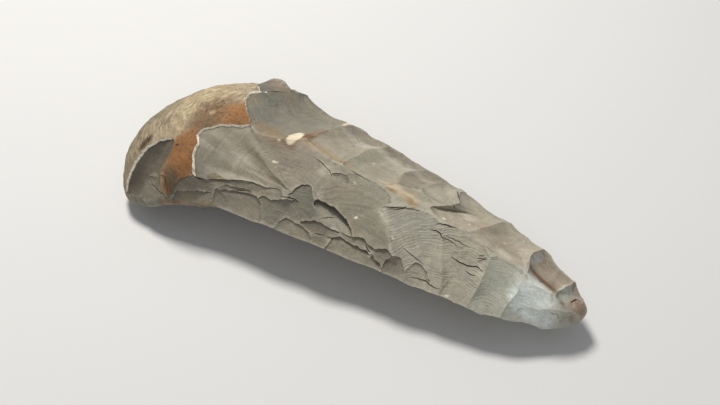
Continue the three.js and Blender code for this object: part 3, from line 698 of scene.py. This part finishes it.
# the rind: cream over the dome, brown below it, orange where iron has stained it
on_rind = corner_scar == 0
on_rind &= np.repeat(rinded, sizes)
tint[on_rind] = colour(158, 143, 117)
names[on_rind] = "rind"
RIND = ["rind"]
stain(-70, -8, 16, 22, 20, (176, 158, 125), 0.8, 0.9, RIND)
stain(-92, -10, 12, 40, 0, (132, 120, 96), 0.8, 0.9, RIND)
stain(-58, -17, 9, 16, 12, (122, 98, 72), 0.95, 0.9, RIND)
stain(-46, -10, 9, 8.5, 20, (150, 108, 68), 0.95, 0.8, RIND)
stain(-58, -36, 10, 11, 20, (146, 103, 64), 1.0, 0.7, RIND)
stain(-58, -43, 6, 3, -20, (112, 92, 70), 0.9, 0.8, RIND)
stain(-80, -35, 1.8, 3.4, -25, (88, 70, 50), 0.9, 0.7, RIND)
stain(-63.8, -31.8, 0.8, 0.7, 0, (45, 32, 22), 1.0, 0.5, RIND)
stain(-59, -13, 1.5, 1.4, 0, (168, 146, 112), 0.8, 0.6, RIND)

# stains, bloom and the two fossils in the flint
stain(-44, 4, 9, 12, 60, (112, 110, 97), 0.8, 0.9, ["far_1"])
stain(-52, 30, 9, 9, 0, (122, 109, 92), 0.8, 0.9, ["butt_far"])
stain(-31, -8, 9, 5, -10, (126, 110, 84), 0.9, 1.0)
stain(-38, -24, 12, 2.6, 12, (160, 152, 135), 0.75, 0.9, ["near_0"])
stain(-24, -20, 12, 2.4, -6, (128, 119, 98), 0.8, 0.9, ["near_0"])
stain(-12, -24.5, 9, 2.2, -14, (116, 109, 92), 0.9, 0.9, ["near_0"])
stain(-46, -30, 8, 5, 0, (134, 127, 110), 0.7, 0.9, ["near_0"])
stain(-16.5, 3, 2.6, 7, -12, (128, 106, 78), 0.8, 0.9)
stain(-17, -2, 3.2, 5, -14, (104, 74, 44), 0.9, 0.7)
stain(-19.6, -9.2, 3.4, 1.8, 0, (108, 84, 58), 0.8, 0.8)
stain(-22.3, -6, 1.6, 4, 0, (112, 86, 58), 0.7, 0.8)
stain(-4, -4.5, 18, 1.8, -2, (150, 130, 98), 0.75, 0.9)
stain(2, -12, 4, 3, 20, (156, 147, 128), 0.7, 0.8)
stain(5, -20.5, 1.6, 1.4, 0, (168, 158, 142), 0.8, 0.7)
stain(10, -14, 7, 6, 0, (143, 131, 111), 0.7, 1.0, ["near_2"])
stain(23, -20, 10, 5, 0, (131, 126, 107), 0.7, 1.0, ["near_2"])
stain(33, -4.3, 10, 1.9, 0, (184, 167, 136), 0.95, 0.8)
stain(30, -5.7, 3.6, 0.9, 5, (134, 104, 62), 0.9, 0.7)
stain(39.5, -6.2, 3.2, 1.5, -20, (146, 118, 76), 0.9, 0.7)
stain(12, 18.5, 24, 3, -5, (172, 165, 148), 0.75, 0.9)
stain(0, 18, 6, 3, -12, (176, 169, 153), 0.7, 0.9)
stain(4, 29, 40, 6, -2, (132, 123, 107), 0.75, 0.8)
stain(10, 1, 8, 5, 0, (146, 143, 125), 0.7, 1.0)
stain(40, -24.5, 6, 2.4, -38, (186, 179, 160), 0.85, 0.8, ["near_3"])
stain(34, -16.5, 5, 2, -45, (182, 175, 157), 0.8, 0.8, ["near_3"])
stain(50, -12, 9, 5, 0, (154, 151, 134), 0.7, 0.9, ["near_3"])
stain(60, 8, 4, 3.5, 0, (184, 176, 157), 0.8, 0.9)
stain(76, 4, 12, 6, -8, (152, 141, 122), 0.7, 0.9)
stain(77, -10.5, 2.4, 2.6, 20, (188, 181, 162), 0.9, 0.7, ["chip_1"])
stain(82, -2, 4, 2, -10, (182, 174, 154), 0.8, 0.9)
stain(100, -8.5, 9.5, 5.6, -8, (206, 209, 200), 1.0, 0.75)
stain(96, -12, 6, 4, -10, (202, 206, 198), 0.9, 0.9)
stain(92, -5, 3, 3, 0, (190, 188, 172), 0.8, 0.9)
stain(108, 2, 2.4, 5, -10, (178, 178, 162), 0.9, 0.8)
stain(114.5, 1.5, 3, 3, 0, (138, 108, 88), 0.9, 0.8)
stain(91.6, 6.5, 1.5, 6, -6, (160, 156, 150), 0.9, 0.7)
stain(99, -0.6, 6.5, 1.2, -5, (104, 78, 58), 0.9, 0.8)
stain(98, 4, 6, 2.4, 4, (160, 146, 128), 0.7, 0.9)
stain(-20.9, -18, 1.5, 0.5, 12, (214, 208, 190), 0.9, 0.5)
stain(-24.5, -10, 0.6, 0.45, 0, (205, 190, 160), 0.9, 0.5)
FLECKS = [(15, -10), (22.6, -20.2), (41, -20.8), (54.6, -4), (77.8, 5.5), (12.4, 8), (63, 2), (70, -25.4),
          (93, -16), (35, -28)]
for x, y in FLECKS:
    stain(x, y, 0.55, 0.45, 0, (222, 214, 194), 0.95, 0.5)
stain(-20.6, -4, 2.7, 5.4, 5, (226, 212, 182), 1.0, 0.16, None, 0.5)
stain(-18.5, 31, 1.3, 6.5, 22, (216, 196, 164), 1.0, 0.3)

# painted shade: the small faces of the steps are darkened, and the clefts darker still
RISER_PAINTED_SHADE, CLEFT_PAINTED_SHADE = 0.45, 0.3
tint[np.repeat(risers, sizes)] *= RISER_PAINTED_SHADE
tint[np.repeat(clefts, sizes)] *= CLEFT_PAINTED_SHADE
rgba = np.column_stack([np.clip(tint, 0, 1), np.ones(len(tint))]).astype(np.float32)
shade = knapped.attributes.new("tint", "FLOAT_COLOR", "CORNER")
shade.data.foreach_set("color", rgba.ravel())

# how far each place lies from its scar's blow, for the finest ripples, and how strong they are
FAN_WIDTH = 20.0            # how many units of the streaks' pattern a turn of one radian is
starts = np.array([blow["start"] for blow in blows])[corner_scar]
away = np.linalg.norm(corner - starts, axis=1)
away += 0.5 * grain(corner, 7, 901) + 0.2 * grain(corner, 2.5, 902)
aheads, acrosses = (np.array([blow[key] for blow in blows])[corner_scar] for key in ("ahead", "across"))
fan = np.arctan2(((corner - starts) * acrosses).sum(1), ((corner - starts) * aheads).sum(1)) * FAN_WIDTH
waves = np.array([blow["wave"] for blow in blows])[corner_scar]
ripples = np.array([blow["ripple"] for blow in blows])[corner_scar]
for label, values in (("away", away), ("fan", fan + corner_scar * 37.0), ("waves", away / waves),
                      ("ripples", ripples)):
    if label in ("away", "fan"):
        values = np.where(on_rind, round_dome(corner)[:, 0 if label == "away" else 1], values)
    write(label, "CORNER", values)
beyond_stain = 0.71 * (-57 - corner[:, 0]) + 0.60 * (corner[:, 1] + 10) + 1.5 * grain(corner, 7, 31)
write("fibrous", "CORNER", np.clip((beyond_stain + 4) / 8, 0, 1))

# the arrises are rubbed a little pale, partly wear and partly a painted highlight, and painted shade darkens
# the creases
normals = read(knapped.vertices, "normal", 3)
span = points[edges[:, 1]] - points[edges[:, 0]]
length = np.linalg.norm(span, axis=1) + 1e-6
bend = ((normals[edges[:, 1]] - normals[edges[:, 0]]) * span).sum(1) / length
bend = np.clip(bend, -0.8, 0.8)
wear_highlight_and_shade = np.zeros(len(points))
share = np.zeros(len(points))
for side in (0, 1):
    np.add.at(wear_highlight_and_shade, edges[:, side], bend)
    np.add.at(share, edges[:, side], 1)
wear_highlight_and_shade /= share
for _ in range(2):
    total, count = wear_highlight_and_shade * 2, np.full(len(points), 2.0)
    for a, b in ((0, 1), (1, 0)):
        np.add.at(total, edges[:, a], wear_highlight_and_shade[edges[:, b]])
        np.add.at(count, edges[:, a], 1)
    wear_highlight_and_shade = total / count
write("wear_highlight_and_shade", "POINT", wear_highlight_and_shade)


class Tree:
    """Builds a material's nodes in one line each. An input is a number, a colour or another node's socket."""

    def __init__(self, name):
        self.material = bpy.data.materials.new(name)
        self.material.use_nodes = True
        self.nodes, self.links = self.material.node_tree.nodes, self.material.node_tree.links
        self.shader = self.nodes["Principled BSDF"]
        self.place = self.add("ShaderNodeTexCoord", "Object")

    def add(self, kind, output, settings=None, **inputs):
        node = self.nodes.new(kind)
        for key, value in (settings or {}).items():
            setattr(node, key, value)
        for key, value in inputs.items():      # i0 and i1 are inputs by number, and the rest by name
            self.plug(node.inputs[int(key[1:]) if key[1:].isdigit() else key.replace("_", " ")], value)
        return node.outputs[output]

    def plug(self, socket, value):
        if isinstance(value, bpy.types.NodeSocket):
            self.links.new(value, socket)
        elif isinstance(value, (tuple, list, np.ndarray)) and socket.type == "RGBA":
            socket.default_value = (*value[:3], 1)
        else:
            socket.default_value = value

    def attribute(self, name, output="Fac"):
        return self.add("ShaderNodeAttribute", output, {"attribute_name": name})

    def maths(self, operation, a, b=0.0, clamp=False):
        return self.add("ShaderNodeMath", 0, {"operation": operation, "use_clamp": clamp}, i0=a, i1=b)

    def times(self, a, b):
        return self.maths("MULTIPLY", a, b)

    def plus(self, a, b):
        return self.maths("ADD", a, b)

    def vary(self, base, value, low, high, least, most):
        """A colour made darker and lighter as a value goes from low to high."""
        return self.mix(1.0, base, self.range(value, low, high, least, most), "MULTIPLY")

    def range(self, value, low, high, to_low=0.0, to_high=1.0):
        return self.add("ShaderNodeMapRange", "Result", None, Value=value, From_Min=low, From_Max=high,
                        To_Min=to_low, To_Max=to_high)

    def noise(self, size, detail=3.0, roughness=0.55, place=None, distortion=0.0):
        return self.add("ShaderNodeTexNoise", "Fac", None, Vector=place or self.place, Scale=1 / (size * MM),
                        Detail=detail, Roughness=roughness, Distortion=distortion)

    def mix(self, factor, a, b, blend="MIX"):
        node = self.nodes.new("ShaderNodeMix")
        node.data_type, node.blend_type = "RGBA", blend
        for index, value in ((0, factor), (6, a), (7, b)):
            self.plug(node.inputs[index], value)
        return node.outputs[2]

    def specks(self, pitch, place):
        return self.add("ShaderNodeTexVoronoi", "Distance", {"feature": "F1"}, Vector=place,
                        Scale=1 / (pitch * MM))

    def sampled(self, place, scale, detail, roughness, distortion):
        """Noise over places of its own, scaled along each of them."""
        scaled = self.add("ShaderNodeMapping", "Vector", None, Vector=place, Scale=scale)
        return self.add("ShaderNodeTexNoise", "Fac", None, Vector=scaled, Scale=1.0, Detail=detail,
                        Roughness=roughness, Distortion=distortion)

    def round_blow(self):
        """How far a place is from its scar's blow, or the dome's middle, and which way round it."""
        return self.add("ShaderNodeCombineXYZ", 0, None, X=self.attribute("away"), Y=self.attribute("fan"))

    def stretched(self, turn, scale):
        return self.add("ShaderNodeMapping", "Vector", None, Vector=self.place, Rotation=(0, 0, turn),
                        Scale=scale)

    def finish(self, base, roughness, height, depth, specular):
        self.plug(self.shader.inputs["Base Color"], base)
        self.plug(self.shader.inputs["Roughness"], roughness)
        self.shader.inputs["Specular IOR Level"].default_value = specular
        bump = self.add("ShaderNodeBump", "Normal", None, Height=height, Strength=1.0, Distance=depth * MM)
        self.plug(self.shader.inputs["Normal"], bump)
        return self.material


# the weathered flint: dull, faintly glossy, mottled, streaked round each blow, with specks
tree = Tree("flint")
mottle = tree.noise(9, 6, 0.65, distortion=0.8)
fine = tree.noise(0.8, 5, 0.75)
streaks = tree.sampled(tree.round_blow(), (0.8, 0.09, 1), 4.0, 0.65, 0.5)
hackles = tree.sampled(tree.round_blow(), (0.08, 0.9, 1), 3.0, 0.6, 0.3)
base = tree.vary(tree.attribute("tint", "Color"), mottle, 0.3, 0.7, 0.86, 1.12)
base = tree.vary(base, fine, 0.3, 0.7, 0.86, 1.14)
base = tree.vary(base, streaks, 0.3, 0.7, 0.86, 1.14)
base = tree.vary(base, hackles, 0.3, 0.7, 0.94, 1.06)
ochre = tree.times(tree.range(tree.noise(14, 5, 0.65), 0.53, 0.70), 0.35)
base = tree.mix(ochre, base, colour(142, 120, 86))
patchy = tree.range(tree.noise(7, 3, 0.5), 0.42, 0.62)
wave = tree.maths("SINE", tree.times(tree.attribute("waves"), 2 * math.pi * 1.9))
wave_height = tree.times(tree.times(wave, tree.attribute("ripples")), patchy)
# painted light and shade on the ripples: the colour is lighter on their crests and darker in their troughs
base = tree.vary(base, wave_height, -0.15, 0.15, 0.93, 1.07)
# the arrises lighten where the surface bends outwards: partly wear, partly a painted highlight where light
# catches them
rubbed_pale_and_highlit = tree.range(tree.attribute("wear_highlight_and_shade"), 0.02, 0.12)
base = tree.mix(tree.times(rubbed_pale_and_highlit, 0.3), base, colour(190, 182, 162))
# painted shade: the colour darkens towards a dark brown where the surface bends inwards
painted_crease_shade = tree.range(tree.attribute("wear_highlight_and_shade"), -0.02, -0.12)
base = tree.mix(tree.times(painted_crease_shade, 0.35), base, colour(52, 46, 34))
pale_specks = tree.specks(2.6, tree.place)
base = tree.mix(tree.times(tree.range(pale_specks, 0.08, 0.05), 0.5), base, colour(206, 198, 178))
dark_specks = tree.specks(3.4, tree.stretched(0.4, (1.1, 1, 1)))
base = tree.mix(tree.times(tree.range(dark_specks, 0.07, 0.04), 0.6), base, colour(60, 52, 38))
height = tree.plus(tree.times(wave_height, 0.35), tree.times(fine, 0.12))
height = tree.plus(height, tree.times(tree.noise(3, 4, 0.6), 0.25))
height = tree.plus(height, tree.times(streaks, 0.22))
height = tree.plus(height, tree.times(hackles, 0.10))
flint = tree.finish(base, tree.range(fine, 0.3, 0.7, 0.5, 0.66), height, 1.0, 0.42)

# the rind: chalky, with a fibrous grain round the dome, and dark stipple in the stained part
tree = Tree("rind")
fibrous = tree.attribute("fibrous")
fibre = tree.sampled(tree.round_blow(), (1 / 1.5, 1 / 9, 1), 4, 0.6, 0.5)
coarse = tree.noise(6, 4, 0.6)
grit = tree.noise(0.5, 3, 0.7)
weave = tree.range(fibre, 0.36, 0.64, 0.62, 1.34)
base = tree.mix(fibrous, tree.range(grit, 0.3, 0.7, 0.86, 1.12), weave)
base = tree.mix(1.0, tree.attribute("tint", "Color"), base, "MULTIPLY")
base = tree.vary(base, coarse, 0.3, 0.7, 0.86, 1.14)
pale = tree.range(tree.sampled(tree.round_blow(), (1, 1 / 5, 1), 3, 0.6, 0.8), 0.60, 0.70)
pale = tree.times(tree.times(pale, fibrous), 0.65)
base = tree.mix(pale, base, colour(226, 212, 176))
stipple = tree.range(tree.noise(0.75, 3, 0.75, distortion=0.6), 0.56, 0.66)
stained = tree.range(fibrous, 0, 1, 0.62, 0.25)
base = tree.mix(tree.times(stipple, stained), base, colour(74, 52, 34))
height = tree.plus(tree.times(fibre, 0.45), tree.times(grit, 0.18))
height = tree.maths("SUBTRACT", height, tree.times(stipple, 0.15))
rind = tree.finish(base, tree.range(grit, 0.3, 0.7, 0.75, 0.92), height, 1.0, 0.3)

# the chalky section through the rind, round the scars
tree = Tree("chalk")
crumb = tree.noise(0.8, 4, 0.7)
base = tree.mix(tree.range(crumb, 0.30, 0.52), colour(170, 140, 100), colour(252, 244, 222))
chalk = tree.finish(base, 0.9, crumb, 0.3, 0.3)

knapped.materials.clear()
for finish in (flint, rind, chalk):
    knapped.materials.append(finish)
slots = np.where(chalky & (centres[:, 0] < RIND_END), 2, np.where(rinded, 1, 0)).astype(np.int32)
knapped.polygons.foreach_set("material_index", slots)
knapped.polygons.foreach_set("use_smooth", np.ones(len(slots), bool))
knapped.set_sharp_from_angle(angle=math.radians(32))
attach(axe, "root")
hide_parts("hand_axe")

# ------------------------------------------------------------------ floor, light and camera
# The axe lies on a plain pale floor. A small key light over the butt rakes across the scars, and a broad
# fill light and a dim room open the shadows. The camera looks down on the near edge.
floor_mesh = bpy.data.meshes.new("floor")
floor_mesh.from_pydata([(-3, -3, 0), (3, -3, 0), (3, 3, 0), (-3, 3, 0)], [], [(0, 1, 2, 3)])
floor = bpy.data.objects.new("floor", floor_mesh)
bpy.context.scene.collection.objects.link(floor)
paper = bpy.data.materials.new("paper")
paper.use_nodes = True
paper.node_tree.nodes["Principled BSDF"].inputs["Base Color"].default_value = (0.62, 0.61, 0.59, 1)
paper.node_tree.nodes["Principled BSDF"].inputs["Roughness"].default_value = 0.8
floor_mesh.materials.append(paper)


def softbox(name, place, aim, size, power, colour):
    lamp = bpy.data.lights.new(name, "AREA")
    lamp.shape, lamp.size, lamp.energy, lamp.color = "DISK", size, power, colour
    light = bpy.data.objects.new(name, lamp)
    light.location = place
    direction = np.array(aim) - np.array(place)
    light.rotation_euler = Vector(direction).to_track_quat("-Z", "Y").to_euler()
    bpy.context.scene.collection.objects.link(light)


softbox("key", (-0.45, 0.25, 0.95), (0, 0, 0), 0.30, 12.5, (1, 0.98, 0.95))
softbox("fill", (0.6, -0.8, 0.6), (0, 0, 0), 0.7, 2.2, (0.93, 0.96, 1))
world = bpy.data.worlds.new("room")
world.use_nodes = True
world.node_tree.nodes["Background"].inputs["Color"].default_value = (0.9, 0.93, 1, 1)
world.node_tree.nodes["Background"].inputs["Strength"].default_value = 0.30
bpy.context.scene.world = world

VIEW_AZIMUTH, VIEW_ELEVATION, VIEW_DISTANCE = math.radians(35), math.radians(42), 0.430
VIEW_AIM = np.array([0.012, -0.002, 0.020])
back = np.array([math.sin(VIEW_AZIMUTH) * math.cos(VIEW_ELEVATION),
                 -math.cos(VIEW_AZIMUTH) * math.cos(VIEW_ELEVATION), math.sin(VIEW_ELEVATION)])
lens = bpy.data.cameras.new("camera")
lens.lens = 50
lens.clip_start = 0.01
camera = bpy.data.objects.new("camera", lens)
camera.location = VIEW_AIM + back * VIEW_DISTANCE
camera.rotation_euler = (math.pi / 2 - VIEW_ELEVATION, 0, VIEW_AZIMUTH)
bpy.context.scene.collection.objects.link(camera)
bpy.context.scene.camera = camera
bpy.context.scene.view_settings.view_transform = "Standard"
